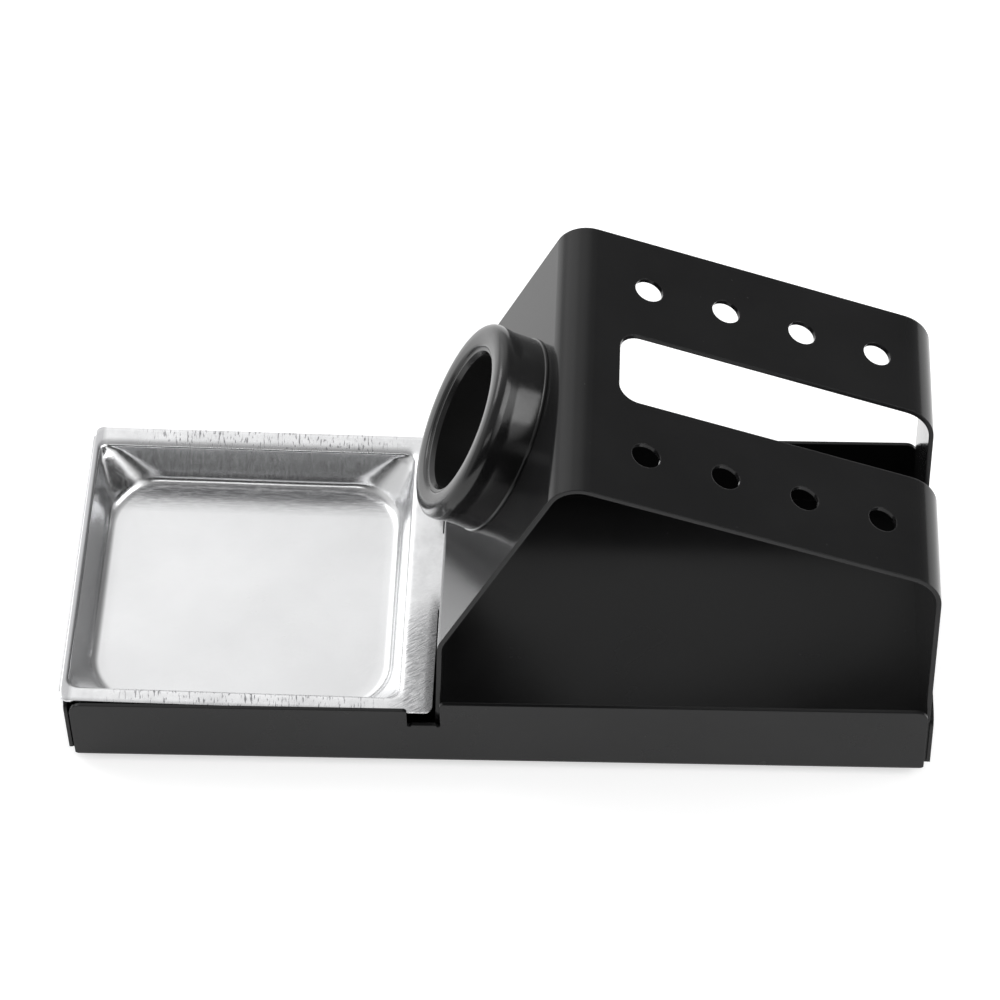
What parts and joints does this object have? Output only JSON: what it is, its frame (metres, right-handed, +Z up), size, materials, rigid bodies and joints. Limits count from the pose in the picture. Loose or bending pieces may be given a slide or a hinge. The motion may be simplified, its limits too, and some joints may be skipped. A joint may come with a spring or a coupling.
{
  "type": "soldering iron stand",
  "caption": "Bench stand for a soldering iron: folded black pan, bent bracket with a round guide collar and spare-tip holes, and a lift-out aluminium sponge tray.",
  "frame": {"origin": "on the bench, below the middle of the pan", "axes": "+X from the tray to the bracket, +Y away from the user, +Z up"},
  "size_m": [0.1811, 0.0755, 0.0861],
  "materials": {
    "black_paint": "semi-gloss baked enamel on steel sheet",
    "black_phenolic": "glossy moulded phenolic",
    "bare_aluminium": "bright drawn sheet",
    "steel_rivet": "zinc plated",
    "black_rubber": "matte"
  },
  "bodies": {
    "stand": {"base_pan": "black_paint", "holder_bracket": "black_paint", "guide_ring": "black_phenolic", "ring_nut": "black_phenolic", "floor_rivet_near": "steel_rivet", "floor_rivet_far": "steel_rivet", "rubber_foot_tray_near": "black_rubber", "rubber_foot_tray_far": "black_rubber", "rubber_foot_bracket_near": "black_rubber", "rubber_foot_bracket_far": "black_rubber"},
    "tray": {"sponge_tray": "bare_aluminium"}
  },
  "joints": [
    {"name": "tray_lift", "type": "hinge", "parent": "stand", "child": "tray", "pos_m": [-0.0125, 0.0011, 0.01781], "axis": [0.0009, 0.9995, 0.0331], "range_deg": [0, 45]}
  ]
}
